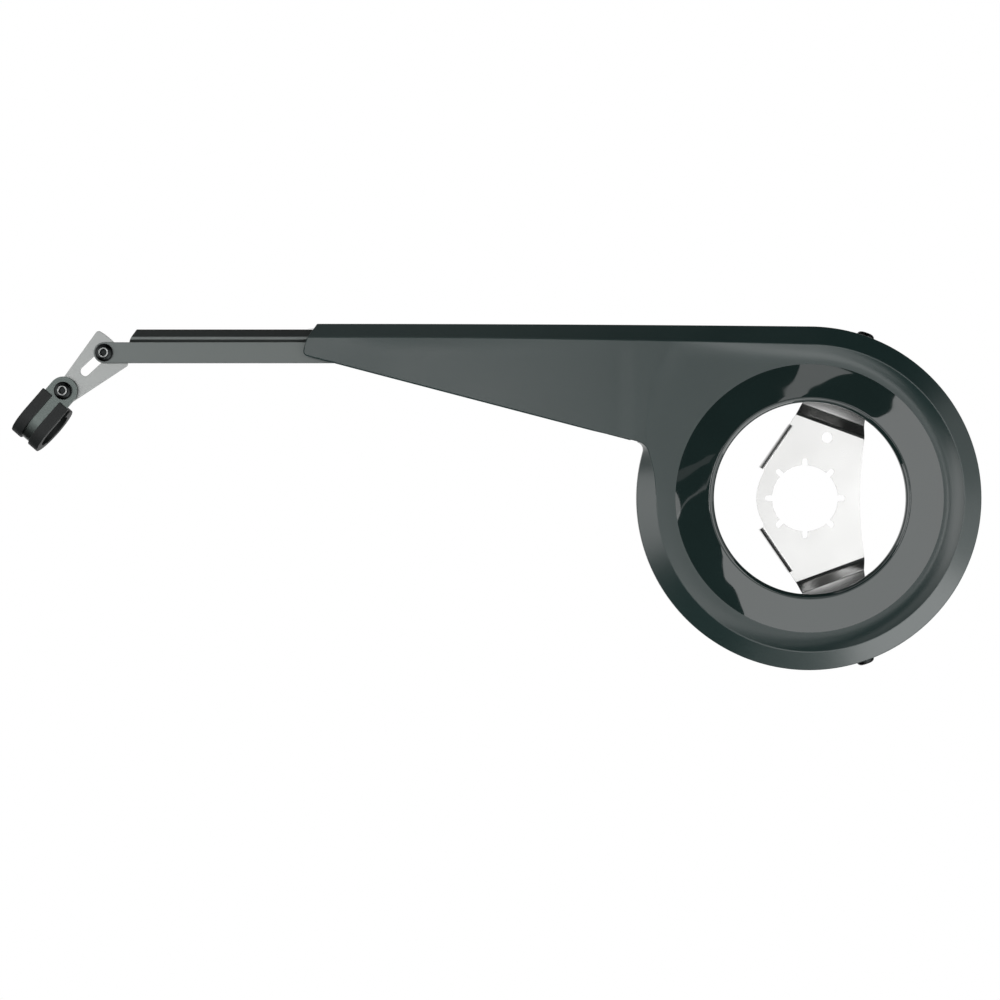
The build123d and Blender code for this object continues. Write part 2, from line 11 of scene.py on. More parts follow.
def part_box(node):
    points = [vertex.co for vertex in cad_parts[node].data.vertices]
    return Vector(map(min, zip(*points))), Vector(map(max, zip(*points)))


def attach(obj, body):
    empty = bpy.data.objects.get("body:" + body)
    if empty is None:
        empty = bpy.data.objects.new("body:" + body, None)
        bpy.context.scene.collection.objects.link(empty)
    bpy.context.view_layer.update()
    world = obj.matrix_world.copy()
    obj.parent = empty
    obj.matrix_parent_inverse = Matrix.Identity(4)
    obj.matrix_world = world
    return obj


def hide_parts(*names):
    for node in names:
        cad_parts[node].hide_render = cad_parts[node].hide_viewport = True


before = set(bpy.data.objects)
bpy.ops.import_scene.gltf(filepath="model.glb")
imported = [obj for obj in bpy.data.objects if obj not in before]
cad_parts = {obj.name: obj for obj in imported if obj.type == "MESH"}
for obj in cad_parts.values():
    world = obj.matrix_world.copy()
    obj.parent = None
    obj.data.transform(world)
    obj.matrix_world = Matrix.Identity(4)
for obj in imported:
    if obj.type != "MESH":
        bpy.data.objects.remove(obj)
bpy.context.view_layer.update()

bl_info = {
    "name": "Chain Guard Finish",
    "version": (1, 0, 0),
    "blender": (4, 5, 0),
    "location": "View3D > Sidebar > Chain Guard",
    "description": "Dresses the packed chain guard with finished pieces, materials and a studio",
    "category": "Object",
}

# The bore axis is Y. Heights called "out" are measured outboard (-Y) from the bracket's seat face.
MM = 0.001
# Places of the shell's finishes in its list of materials
SATIN, POLISHED, TRIMMED = range(3)


def corners(box):
    """Low corner, high corner and middle of a box."""
    low, high = (Vector(corner) for corner in box)
    return low, high, (low + high) / 2


shell_high = corners(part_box("guard_shell"))[1]


def length(name, description, default):
    return FloatProperty(name=name, description=description, default=default, unit="LENGTH", precision=5)


def angle(name, description, degrees):
    return FloatProperty(name=name, description=description, default=radians(degrees), unit="ROTATION")


def linear(hex_colour):
    """Linear RGB of an sRGB hex colour."""
    channels = [int(hex_colour[i:i + 2], 16) / 255 for i in (1, 3, 5)]
    return [c / 12.92 if c <= 0.04045 else ((c + 0.055) / 1.055) ** 2.4 for c in channels]


def colour(name, description, hex_colour):
    return FloatVectorProperty(
        name=name, description=description, subtype="COLOR", size=3, min=0, max=1, default=linear(hex_colour)
    )


class ShellSizes(bpy.types.PropertyGroup):
    rim_radius: length("Rim radius", "Outer radius of the ring", shell_high.x)
    crest_radius: length("Crest radius", "Radius of the ridge round the ring", 0.080)
    collar_radius: length("Collar radius", "Outer radius of the polished collar", 0.070)
    opening_radius: length("Opening radius", "Radius of the crank opening", 0.050)
    wall: length("Wall", "Thickness of the moulding", 0.0022)
    face_out: length("Face height", "Height of the face where the collar starts", 0.021)
    ridge_height: length("Ridge height", "Rise of the crest above the face at the front", 0.005)
    fade_x: length("Ridge fade", "Place along the arm where the dish runs out", -0.095)
    fade_soft: length("Fade softness", "Length either side of the fade that rounds it", 0.024)
    cove_depth: length("Cove depth", "Depth of the shallow cove that follows the arm's crest", 0.0007)
    cove_soft: length("Cove softness", "Depth over which the dish of the ring turns into the cove", 0.00015)
    cove_end: length("Cove end", "Length before the arm's end over which the cove runs out", 0.05)
    cove_run: length("Cove run", "Length behind the collar over which the cove starts", 0.13)
    bevel_depth: length("Bevel depth", "Drop of the bevel outside the crest", 0.0065)
    back_out: length("Rim back", "Height of the rim wall's back edge", -shell_high.y)
    exit_lip_out: length("Exit lip", "Height of the rim's edge at the chain exit", 0.010)
    exit_angle: angle("Exit end", "Angle below the ring where the chain exit ends", -110)
    collar_slope: angle("Collar slope", "Slope of the polished collar at its middle", 12.5)
    collar_crown: angle("Collar crown", "Turn of the collar's slope from its inner to its outer edge", 3)
    roll_radius: length("Collar roll", "Radius of the collar's rolled edge", 0.0024)
    roll_back_out: length("Roll back", "Height of the rolled edge's back", 0.0205)
    edge_round: length("Edge round", "Radius that softens every edge of the moulding", 0.0004)
    weld: length("Weld", "Distance within which points of the skin are joined", 0.00006)


class ArmSizes(bpy.types.PropertyGroup):
    mid_x: length("Middle", "Place of the arm's middle section", -0.140)
    rear_x: length("Rear", "Place of the arm's rear section", -0.2776)
    rim_mid_z: length("Middle top", "Height of the arm's top edge at its middle", 0.0913)
    rim_rear_z: length("Rear top", "Height of the arm's top edge at its rear", shell_high.z)
    crest_mid_z: length("Middle crest", "Height of the arm's crest at its middle", 0.0834)
    crest_rear_z: length("Rear crest", "Height of the arm's crest at its rear", 0.0844)
    corner_x: length("Corner place", "Place of the corner under the arm", -0.08546)
    corner_z: length("Corner height", "Height of the corner under the arm", 0.02837)
    corner_reach: length("Corner round", "Length of either side that the corner's rounding takes", 0.004)
    underside_angle: angle("Underside", "Rise of the arm's underside toward the rear", 14.7)
    end_x: length("End", "Place of the arm's end where it meets the end height", -0.2635)
    end_z: length("End height", "Height at which the arm's end is placed", 0.080)
    end_out: length("End face", "Height of the face at the arm's end", 0.01621)
    end_lean: angle("End lean", "Lean of the arm's end in the front view", 14)
    end_sweep: angle("End sweep", "Sweep of the arm's end toward its back", 22.6)
    tip_reach: length("Tip round", "Length of either side that the lower tip's rounding takes", 0.0023)
    hem_width: length("Hem width", "Width of the trimmed edge under the arm, seen from the side", 0.00055)
    hem_depth: length("Hem depth", "Drop of the trimmed edge under the arm", 0.0008)
    end_margin: length("End margin", "Length over which the columns lean over to the arm's end", 0.0105)
    pad_length: length("Pad length", "Length of the pad that the rail is clamped to", 0.044)
    pad_height: length("Pad height", "Height of the pad that the rail is clamped to", 0.007)
    rail_wall: length("Rail wall", "Thickness of the rail's web", 0.002)
    slide_gap: length("Slide gap", "Gap that keeps the sliding faces apart", 0.00004)


class ScrewSizes(bpy.types.PropertyGroup):
    radius: length("Screw radius", "Radius of the thread", 0.0025)
    pitch: length("Pitch", "Pitch of the thread", 0.0008)
    shank: length("Shank", "Length of the shank under the head", 0.010)
    head_radius: length("Head radius", "Radius of the button head", 0.00475)
    head_height: length("Head height", "Height of the button head", 0.00275)
    ring_radius: length("Ring radius", "Outer radius of the flat ring round the socket", 0.0025)
    sink_radius: length("Sink radius", "Radius of the sunk edge of the socket", 0.00185)
    socket_flat: length("Socket", "Width across the flats of the hexagon socket", 0.003)
    socket_depth: length("Socket depth", "Depth of the hexagon socket", 0.0016)
    nut_flat: length("Nut", "Width across the flats of the nut", 0.008)
    nut_height: length("Nut height", "Height of the nut", 0.004)
    nut_play: length("Nut play", "Gap between a screw and the thread of its nut", 0.00005)
    nut_sink: length("Nut sink", "Width and depth of the sunk edges of the nut's bore", 0.0003)
    nut_thread: length("Nut thread", "Depth of the nut's thread", 0.00025)
    rim_angle: angle("Rim screws", "Angle of the rim's screws above and below the bore", 70)
    rim_seat: length("Rim seat", "Distance of the rim screws' seats from the bore axis", 0.08985)
    lock_radius: length("Lock screw", "Radius of the rail's lock screw", 0.002)
    lock_head_radius: length("Lock head", "Radius of the lock screw's head", 0.004)
    lock_head_height: length("Lock head height", "Height of the lock screw's head", 0.0024)
    lock_shank: length("Lock shank", "Length of the lock screw under its head", 0.0073)
    lock_pitch: length("Lock pitch", "Pitch of the lock screw's thread", 0.0014)
    lock_thread: length("Lock thread", "Depth of the lock screw's thread", 0.0004)
    lock_neck: length("Lock neck", "Plain length between the lock screw's head and thread", 0.0005)


class EdgeSizes(bpy.types.PropertyGroup):
    bracket: length("Bracket edges", "Rounding of the bracket's edges", 0.00005)
    plate: length("Plate edges", "Rounding of the edges of the link plate and the rail", 0.0002)
    strap: length("Strap edges", "Rounding of the strap's edges", 0.00015)
    washer: length("Washer edges", "Rounding of the washers' edges", 0.0001)
    lining: length("Lining edges", "Rounding of the rubber's edges", 0.00035)
    screw: length("Screw edges", "Rounding of the button-head screws' edges", 0.00008)
    nut: length("Nut edges", "Rounding of the edges of the nuts and the lock screw", 0.00006)


class FinishColours(bpy.types.PropertyGroup):
    shell: colour("Shell", "Satin black moulding", "#152423")
    collar: colour("Collar", "Polished black collar", "#141f1e")
    zinc: colour("Zinc", "Bright zinc plating on the bracket", "#d7d7d6")
    plate: colour("Plate", "Rolled zinc-plated link plate", "#858786")
    strap: colour("Strap", "Zinc-plated strip of the clip", "#535957")
    rail: colour("Rail", "Satin anodised rail", "#5b5f5e")
    rubber: colour("Rubber", "Black rubber lining", "#0c0f0f")
    screw: colour("Screw", "Black oxide on the screws", "#222424")
    floor: colour("Floor", "Pale studio floor", "#efefee")
    cloth: colour("Cloth", "Dark cloth that shades the reflections", "#0c0d0d")


class StageSizes(bpy.types.PropertyGroup):
    camera_x: length("Camera place", "Place of the camera along the guard", -0.1615)
    camera_y: length("Camera distance", "Place of the camera in front of the guard", -1.325)
    camera_z: length("Camera height", "Height of the camera", -0.0009)
    lens_mm: FloatProperty(name="Lens", description="Focal length in millimetres", default=90)
    fill: FloatProperty(name="Fill", description="Strength of the soft fill from all round", default=0.2)
    panel_reach: length("Panel distance", "Distance of the lit panels from the ring", 1.7)
    cloth_reach: length("Cloth distance", "Distance of the dark cloths from the ring", 2.0)
    floor_z: length("Floor height", "Height of the floor under the guard", -2.2)
    floor_back: length("Floor back", "Place where the floor ends behind the guard", 0.17)
    floor_size: length("Floor size", "Width and depth of the floor", 3.0)


def settings(name):
    """Group of settings that the scene holds."""
    return getattr(bpy.context.scene, "chain_guard_" + name)


# Materials

Look = namedtuple("Look", "material tree shader place")


def add_node(tree, kind, inputs=None, **values):
    """A node with its settings; an input that is given a socket is linked to it."""
    node = tree.nodes.new(kind)
    for name, value in values.items():
        setattr(node, name, value)
    for name, value in (inputs or {}).items():
        if isinstance(value, bpy.types.NodeSocket):
            tree.links.new(value, node.inputs[name])
        else:
            node.inputs[name].default_value = value
    return node


def surface(name, base, roughness, metallic=0.0, **sockets):
    """A material with a principled shader, its tree and coordinates in metres on the piece."""
    material = bpy.data.materials.new(name)
    material.use_nodes = True
    tree = material.node_tree
    shader = tree.nodes["Principled BSDF"]
    shader.inputs["Base Color"].default_value = (*base, 1)
    shader.inputs["Roughness"].default_value = roughness
    shader.inputs["Metallic"].default_value = metallic
    for socket, value in sockets.items():
        shader.inputs[socket.replace("_", " ")].default_value = value
    place = add_node(tree, "ShaderNodeTexCoord").outputs["Object"]
    return Look(material, tree, shader, place)


def drive(look, size_mm, tone=None, roughness=None, height_mm=None, kind="ShaderNodeTexNoise", **inputs):
    """Let a texture drive a look: its colour by a share, its roughness in a span, its grain in height."""
    tree, shader = look.tree, look.shader
    texture = add_node(tree, kind, {"Vector": look.place, "Scale": 1 / (size_mm * MM), **inputs})
    pattern = texture.outputs[0]
    if tone:
        base = shader.inputs["Base Color"].default_value[:3]
        tint = add_node(tree, "ShaderNodeValToRGB", {"Fac": pattern})
        for stop, share in zip(tint.color_ramp.elements, (1 - tone, 1 + tone)):
            stop.color = (*(min(channel * share, 1) for channel in base), 1)
        tree.links.new(tint.outputs["Color"], shader.inputs["Base Color"])
    if roughness:
        span = add_node(
            tree, "ShaderNodeMapRange", {"Value": pattern, "To Min": roughness[0], "To Max": roughness[1]}
        )
        tree.links.new(span.outputs["Result"], shader.inputs["Roughness"])
    if height_mm:
        bump = add_node(tree, "ShaderNodeBump", {"Height": pattern, "Distance": height_mm * MM})
        tree.links.new(bump.outputs["Normal"], shader.inputs["Normal"])


def satin_moulding(base):
    """Black plastic from a spark-eroded mould: a fine even grain that spreads reflections softly."""
    look = surface("satin_polycarbonate_spark_eroded", base, 0.3, IOR=1.57)
    drive(look, 40, tone=0.12, roughness=(0.26, 0.33), Detail=3.0)
    # The real grain is about 0.05 mm; it is drawn at 0.35 mm, so that it shows.
    drive(look, 0.35, height_mm=0.006, Detail=2.0)
    return look.material


def cut_edge(base):
    """The moulding's trimmed edge: matt, so that it draws a dark line round the shell."""
    look = surface("matt_polycarbonate_trimmed", base, 0.8, Specular_IOR_Level=0.2)
    drive(look, 1.5, tone=0.2, roughness=(0.7, 0.9), Detail=3.0)
    return look.material


def polished_moulding(base):
    """The same plastic from a polished part of the mould: mirror gloss with slow sink waves and a haze."""
    look = surface("gloss_polycarbonate_polished_mould", base, 0.04, IOR=1.57)
    drive(look, 20, tone=0.08, height_mm=0.5, Detail=0.0)
    drive(look, 3, roughness=(0.02, 0.05), Detail=4.0)
    return look.material


def rolled_metal(name, base, roughness, line_mm=0.4, stretch=0.05, depth_mm=0.003):
    """Rolled or extruded metal: soft even sheen with fine lines along its length."""
    look = surface(name, base, roughness, metallic=1.0)
    drive(look, 18, tone=0.03, roughness=(roughness - 0.03, roughness + 0.03), Detail=3.0)
    # The real lines are about 0.1 mm apart; line_mm is wider, so that they show.
    along = add_node(look.tree, "ShaderNodeMapping", {"Vector": look.place, "Scale": (stretch, 1, 1)})
    drive(look, line_mm, height_mm=depth_mm, Vector=along.outputs["Vector"], Detail=2.0)
    return look.material


def moulded_rubber(base):
    """Black moulded rubber: matt, with a fine pebble from the mould and a trace of bloom."""
    look = surface("black_rubber_moulded", base, 0.55, IOR=1.52, Specular_IOR_Level=0.25)
    drive(look, 6, tone=0.2, Detail=4.0)
    # The real pebble is about 0.1 mm; it is drawn at 0.4 mm, so that it shows.
    drive(look, 0.4, roughness=(0.48, 0.62), height_mm=0.01, kind="ShaderNodeTexVoronoi")
    return look.material


def black_oxide(base):
    """Black oxide on steel: a dark metal with faint turning marks; the flat of the head is glossy, and its
    highlight is painted by the lighter ring material in button_screw.
    """
    look = surface("black_oxide_steel_turned", base, 0.28, metallic=1.0)
    drive(look, 0.5, tone=0.2, roughness=(0.2, 0.34), height_mm=0.002, Detail=3.0)
    return look.material


def painted_floor(base):
    """Matt painted board: pale and even, so that only the soft shadow shows on it."""
    look = surface("matt_painted_board", base, 0.8)
    drive(look, 300, tone=0.015, Detail=4.0)
    return look.material


def dark_cloth(base):
    """Black wool cloth: takes up light, so that a glossy piece shows it as a dark zone."""
    look = surface("black_wool_felted", base, 0.95)
    drive(look, 50, tone=0.2, Detail=4.0)
    return look.material


def lit_diffuser(name, radiance):
    """Lit diffuser cloth of a soft panel: even light that a glossy piece shows as a light zone."""
    material = bpy.data.materials.new("lit_diffuser_" + name)
    material.use_nodes = True
    tree = material.node_tree
    tree.nodes.clear()
    glow = add_node(tree, "ShaderNodeEmission", {"Strength": radiance})
    add_node(tree, "ShaderNodeOutputMaterial", {"Surface": glow.outputs["Emission"]})
    return material


# Meshes


def point(x, z, out):
    """Point at a place in the front view and a height in front of the seat face."""
    return Vector((x, -out, z))


def steps(first, last, count):
    """Points from one to another, both included."""
    return [first.lerp(last, i / count) for i in range(count + 1)]


def between(first, last, count):
    """Rows of points from one row to another, both included."""
    return [[a.lerp(b, i / count) for a, b in zip(first, last)] for i in range(count + 1)]


def grid_faces(mesh, rows, finish=0):
    """Faces of one finish between rows of points."""
    rings = [[mesh.verts.new(p) for p in row] for row in rows]
    for near, far in zip(rings, rings[1:]):
        for i in range(len(near) - 1):
            face = mesh.faces.new((near[i], near[i + 1], far[i + 1], far[i]))
            face.material_index = finish
            face.smooth = True


def object_from(mesh, name, materials):
    """An object with a finished mesh and its materials, linked to the scene."""
    data = bpy.data.meshes.new(name)
    mesh.to_mesh(data)
    mesh.free()
    for material in materials:
        data.materials.append(material)
    result = bpy.data.objects.new(name, data)
    bpy.context.collection.objects.link(result)
    return result


def piece_from(mesh, name, materials, body):
    """A piece of the guard, which rides a body and belongs to a material slot."""
    piece = object_from(mesh, name, materials)
    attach(piece, body)
    return piece


def soften(piece, width, limit_degrees=30, segments=3):
    """Rounded edges and even shading, made by modifiers."""
    bevel = piece.modifiers.new("edges", "BEVEL")
    bevel.width = width
    bevel.segments = segments
    bevel.limit_method = "ANGLE"
    bevel.angle_limit = radians(limit_degrees)
    bevel.use_clamp_overlap = False
    bevel.loop_slide = False
    bevel.miter_outer = "MITER_ARC"
    bevel.harden_normals = True
    piece.modifiers.new("shading", "WEIGHTED_NORMAL").keep_sharp = True


def corner_arc(before, corner, after, reach, count):
    """Points of the arc that rounds a corner; it starts and ends at reach from the corner."""
    to_before = (before - corner).normalized()
    to_after = (after - corner).normalized()
    half = to_before.angle(to_after) / 2
    radius = reach * tan(half)
    centre = corner + (to_before + to_after).normalized() * (reach / cos(half))
    start = (corner + to_before * reach - centre).normalized()
    end = (corner + to_after * reach - centre).normalized()
    return [centre + start.slerp(end, i / count) * radius for i in range(count + 1)]


def line_height(x, front, middle, rear):
    """Height at x of the smooth line through three points, the front one at zero."""
    (mid_x, mid_z), (rear_x, rear_z) = middle, rear
    to_front = (x - mid_x) * (x - rear_x) / (mid_x * rear_x)
    to_mid = x * (x - rear_x) / (mid_x * (mid_x - rear_x))
    to_rear = x * (x - mid_x) / (rear_x * (rear_x - mid_x))
    return front * to_front + mid_z * to_mid + rear_z * to_rear


class ShellForm:
    """Outer skin of the shell as grids of points, worked out from its sizes."""

    # Steps along the outline
    RING_STEPS = 144
    TOP_STEPS = 36
    SIDE_STEPS = 14
    ARM_STEPS = 40
    END_STEPS = 6
    CORNER_STEPS = 6
    # Rows across the skin
    ROLL_ROWS = 10
    COLLAR_ROWS = 10
    COVE_ROWS = 8
    ARM_ROWS = 12
    TIP_ROWS = 6
    BEVEL_ROWS = 5
    WALL_ROWS = 4
    # Share of the arm's end column that its straight lower rows take
    END_SHARE = 0.2

    def __init__(self, size, arm):
        self.size = size
        self.arm = arm
        self.dish_width = size.crest_radius - size.collar_radius
        self.slope = size.ridge_height / (size.crest_radius - size.fade_x)
        self.corner = Vector((arm.corner_x, arm.corner_z))
        self.rearward = Vector((-cos(arm.underside_angle), sin(arm.underside_angle)))

    def crest_out(self, x):
        """Height of the crest, which rises evenly from the arm to the front of the ring."""
        return self.size.face_out + (x - self.size.fade_x) * self.slope

    def rim_out(self, x):
        return self.crest_out(x) - self.size.bevel_depth

    def lip_out(self, rim_out):
        """Height of the exit lip's line on the wall under a rim edge of that height."""
        size = self.size
        share = (size.exit_lip_out - size.back_out) / (self.rim_out(0) - size.back_out)
        return size.back_out + share * (rim_out - size.back_out)

    def crest_top(self, x):
        arm = self.arm
        return line_height(
            x, self.size.crest_radius, (arm.mid_x, arm.crest_mid_z), (arm.rear_x, arm.crest_rear_z)
        )

    def rim_top(self, x):
        arm = self.arm
        return line_height(x, self.size.rim_radius, (arm.mid_x, arm.rim_mid_z), (arm.rear_x, arm.rim_rear_z))

    def floor_out(self, x):
        """Height of the face under the crest: the ring's plane, then a shallow cove along the arm."""
        size = self.size
        past = x - size.fade_x
        dish = 0
        if past > -size.fade_soft:
            dish = self.slope * (past + max(size.fade_soft - past, 0) ** 2 / (4 * size.fade_soft))
        from_collar = (-size.collar_radius - x) / size.cove_run
        from_end = (x - self.arm.end_x) / size.cove_end
        share = min(max(min(from_collar, from_end), 0), 1)
        cove = size.cove_depth * share * share * (3 - 2 * share)
        depth = (dish + cove + hypot(dish - cove, size.cove_soft * share)) / 2
        return self.crest_out(x) - depth

    def face_out(self, x, z):
        """Height of the face: the crest plane on the arm, dished inside the crest of the ring."""
        size = self.size
        crest = self.crest_out(x)
        floor = self.floor_out(x)
        step = (hypot(x, z) - size.collar_radius) / self.dish_width
        if x < 0 < z:
            under_top = 1 - (self.crest_top(x) - z) / self.dish_width
            step = max(under_top, step - z / self.corner.y) if x > size.fade_x else under_top
        return floor + min(max(step, 0), 1) ** 2 * (crest - floor)

    def on_face(self, place):
        return point(place.x, place.y, self.face_out(place.x, place.y))

    def end_x(self, z, out):
        """Place of the arm's slanted end."""
        arm = self.arm
        return arm.end_x + (z - arm.end_z) * tan(arm.end_lean) + (arm.end_out - out) * tan(arm.end_sweep)

    def side_point(self, radius, z):
        """Point of the ring's left side, which leaves the circle below the arm and ends at the corner."""
        step = -radius - self.corner.x
        side_radius = (step**2 + self.corner.y**2) / (2 * step)
        reach = sqrt(side_radius**2 - z**2)
        return Vector((-radius - side_radius + (reach if side_radius > 0 else -reach), z))

    def corner_steps(self, radius):
        """Rounded corner under the arm, from the side of that radius to the arm's underside."""
        below = self.side_point(radius, self.corner.y - self.arm.corner_reach)
        behind = self.corner + self.rearward
        return corner_arc(below, self.corner, behind, self.arm.corner_reach, self.CORNER_STEPS)

    def collar_profile(self):
        """Radius and height of the collar from the back of its roll to its outer edge."""
        size = self.size
        outer_slope = size.collar_slope + size.collar_crown / 2
        slope = size.collar_slope - size.collar_crown / 2
        centre_radius = size.opening_radius + size.roll_radius
        roll_end = centre_radius + size.roll_radius * sin(slope)
        width = size.collar_radius - roll_end

        def collar_out(radius):
            rest = size.collar_radius - radius
            return size.face_out + tan(outer_slope - size.collar_crown / 2 * rest / width) * rest

        centre_out = collar_out(roll_end) - size.roll_radius * cos(slope)
        profile = [(size.opening_radius, size.roll_back_out)]
        for i in range(self.ROLL_ROWS + 1):
            turn = pi - i / self.ROLL_ROWS * (pi / 2 + slope)
            place = self.polar(size.roll_radius, turn)
            profile.append((centre_radius + place.x, centre_out + place.y))
        for i in range(1, self.COLLAR_ROWS + 1):
            radius = roll_end + width * i / self.COLLAR_ROWS
            profile.append((radius, collar_out(radius)))
        return profile

    def ring_angles(self):
        """Angles of the three quarters without the arm, clockwise from the top."""
        return [pi / 2 - i * tau * 0.75 / self.RING_STEPS for i in range(self.RING_STEPS + 1)]

    def arm_angles(self):
        """Angles of the upper rear quarter, from the left side to the top."""
        lean = asin(self.corner_steps(self.size.crest_radius)[0].y / self.size.collar_radius)
        side = [pi - lean * i / self.SIDE_STEPS for i in range(self.SIDE_STEPS + 1)]
        top = [pi - lean - (pi / 2 - lean) * i / self.TOP_STEPS for i in range(1, self.TOP_STEPS + 1)]
        return side, top

    def polar(self, radius, turn):
        return Vector((radius * cos(turn), radius * sin(turn)))


def shell_mesh(size, arm):
    """Outer skin of the shell as one welded mesh."""
    form = ShellForm(size, arm)
    mesh = bmesh.new()
    ring = form.ring_angles()
    side, top = form.arm_angles()

    # Polished collar, all the way round
    rows = []
    for radius, out in form.collar_profile():
        rows.append([point(*form.polar(radius, turn), out) for turn in ring + side[1:] + top])
    grid_faces(mesh, rows, POLISHED)

    # Dished band between the collar and the crest, on the three quarters without the arm
    rows = []
    for i in range(form.COVE_ROWS + 1):
        radius = size.collar_radius + form.dish_width * i / form.COVE_ROWS
        rows.append([form.on_face(form.polar(radius, turn)) for turn in ring])
    grid_faces(mesh, rows, SATIN)

    # Face left of the collar, up to where the corner under the arm is rounded
    left = []
    for turn in side:
        inner = form.polar(size.collar_radius, turn)
        outer = form.side_point(size.crest_radius, inner.y)
        left.append([form.on_face(p) for p in steps(inner, outer, form.COVE_ROWS)])
    grid_faces(mesh, left, SATIN)

    # Columns of the arm, from its lower edge to its crest
    lower = [form.polar(size.collar_radius, turn) for turn in reversed(top)]
    shelf = [Vector((p.x, p.z)) for p in left[-1]]
    corner_steps = form.corner_steps(size.crest_radius)
    lower += shelf + corner_steps[1:]
    column_x = [place.x for place in lower]
    hem_start = len(lower) - 1
    start = lower[hem_start]
    ends = arm_end(form)
    for i in range(1, form.ARM_STEPS + 1):
        share = i / form.ARM_STEPS
        lower.append(start.lerp(ends["lower"], share))
        column_x.append(start.x + (ends["upper_x"] - start.x) * share)
    columns = []
    for low, x in zip(lower, column_x):
        columns.append(arm_column(form, low, Vector((x, form.crest_top(x)))))
    columns += between(columns[-1], ends["column"], form.END_STEPS)[1:]
    grid_faces(mesh, [[form.on_face(p) for p in column] for column in columns], SATIN)

    # Trimmed edge along the arm's underside and end
    outline = [column[0] for column in columns[hem_start:]] + columns[-1][1:]
    hem = []
    for i, place in enumerate(outline):
        along = (outline[min(i + 1, len(outline) - 1)] - outline[max(i - 1, 0)]).normalized()
        taper = min(i / form.TIP_ROWS, (len(outline) - 1 - i) / form.TIP_ROWS, 1)
        edge = form.on_face(place)
        outward = Vector((-along.y, arm.hem_depth / arm.hem_width, along.x))
        hem.append([edge, edge + outward * arm.hem_width * taper])
    grid_faces(mesh, list(zip(*hem)), TRIMMED)

    # Bevel and rim wall along the arm's top
    top_edge = []
    for x in column_x:
        top_edge.append(edge_points(form, Vector((x, form.crest_top(x))), Vector((x, form.rim_top(x)))))
    top_edge += between(top_edge[-1], ends["edge"], form.END_STEPS)[1:]

    # Bevel and rim wall round the ring and up to the corner under the arm
    ring_edge = []
    for turn in ring:
        crest = form.polar(size.crest_radius, turn)
        ring_edge.append(edge_points(form, crest, form.polar(size.rim_radius, turn)))
    side_edge = []
    for row in left:
        crest = Vector((row[-1].x, row[-1].z))
        side_edge.append(edge_points(form, crest, form.side_point(size.rim_radius, crest.y)))
    rim_steps = form.corner_steps(size.rim_radius)
    for crest, rim in zip(corner_steps[1:], rim_steps[1:]):
        side_edge.append(edge_points(form, crest, rim))
    for edge in (top_edge, ring_edge, side_edge):
        crest, rim, lip, back = zip(*edge)
        grid_faces(mesh, between(crest, rim, form.BEVEL_ROWS), SATIN)
        grid_faces(mesh, between(rim, lip, form.WALL_ROWS), SATIN)
    walled = [edge for turn, edge in zip(ring, ring_edge) if turn > size.exit_angle - 1e-6]
    for edge in (top_edge, walled):
        crest, rim, lip, back = zip(*edge)
        grid_faces(mesh, between(lip, back, form.WALL_ROWS), SATIN)

    bmesh.ops.remove_doubles(mesh, verts=mesh.verts, dist=size.weld)
    bmesh.ops.dissolve_degenerate(mesh, edges=mesh.edges, dist=1e-7)
    bmesh.ops.recalc_face_normals(mesh, faces=mesh.faces)
    for edge in mesh.edges:
        edge.smooth = len({face.material_index for face in edge.link_faces}) == 1
    facing = sum(face.normal.y * face.calc_area() for face in mesh.faces)
    if facing > 0:
        bmesh.ops.reverse_faces(mesh, faces=mesh.faces)
    return mesh


def arm_column(form, low, high):
    """Places of one column of the arm, closer together under its crest."""
    size = form.size
    height = (high - low).length
    fade = min(max((size.fade_x - high.x) / (size.fade_x - form.arm.end_x), 0), 1)
    band = min(form.dish_width, height * (1 - fade / 2)) / height
    shares = [i / form.ARM_ROWS * (1 - band) for i in range(form.ARM_ROWS)]
    shares += [1 - band + band * i / form.COVE_ROWS for i in range(form.COVE_ROWS + 1)]
    return [low.lerp(high, share) for share in shares]


def edge_points(form, crest, rim):
    """Crest, rim edge, exit lip and back edge of the wall at one place of the outline."""
    size = form.size
    rim_out = form.rim_out(rim.x)
    on_arm = crest.x < 0 and crest.y > form.corner.y + form.arm.corner_reach
    lip_out = form.lip_out(rim_out) if on_arm else size.exit_lip_out
    return [
        point(crest.x, crest.y, form.crest_out(crest.x)),
        point(rim.x, rim.y, rim_out),
        point(rim.x, rim.y, lip_out),
        point(rim.x, rim.y, size.back_out),
    ]


def arm_end(form):
    """Slanted rear end of the arm: its column, its edge and where the straight columns stop."""
    arm = form.arm
    slope = tan(arm.underside_angle)

    def face_x(z):
        return form.end_x(z, form.crest_out(arm.end_x))

    top_z = form.crest_top(arm.end_x)
    high = Vector((face_x(top_z), top_z))
    foot_z = (arm.corner_z - slope * (face_x(0) - arm.corner_x)) / (1 + slope * tan(arm.end_lean))
    tip = Vector((face_x(foot_z), foot_z))
    tip_arc = corner_arc(tip - form.rearward, tip, high, arm.tip_reach, form.TIP_ROWS)
    split = tip_arc[-1].lerp(high, form.END_SHARE)
    column = tip_arc + steps(tip_arc[-1], split, form.ARM_ROWS - form.TIP_ROWS)[1:]
    column += steps(split, high, form.COVE_ROWS)[1:]
    rim_z = form.rim_top(arm.end_x)
    rim_out = form.rim_out(high.x)
    edge = [point(high.x, high.y, form.crest_out(high.x))]
    for out in (rim_out, form.lip_out(rim_out), form.size.back_out):
        edge.append(point(form.end_x(rim_z, out), rim_z, out))
    return {
        "column": column,
        "edge": edge,
        "lower": tip_arc[0] - form.rearward * arm.end_margin,
        "upper_x": high.x + arm.end_margin,
    }


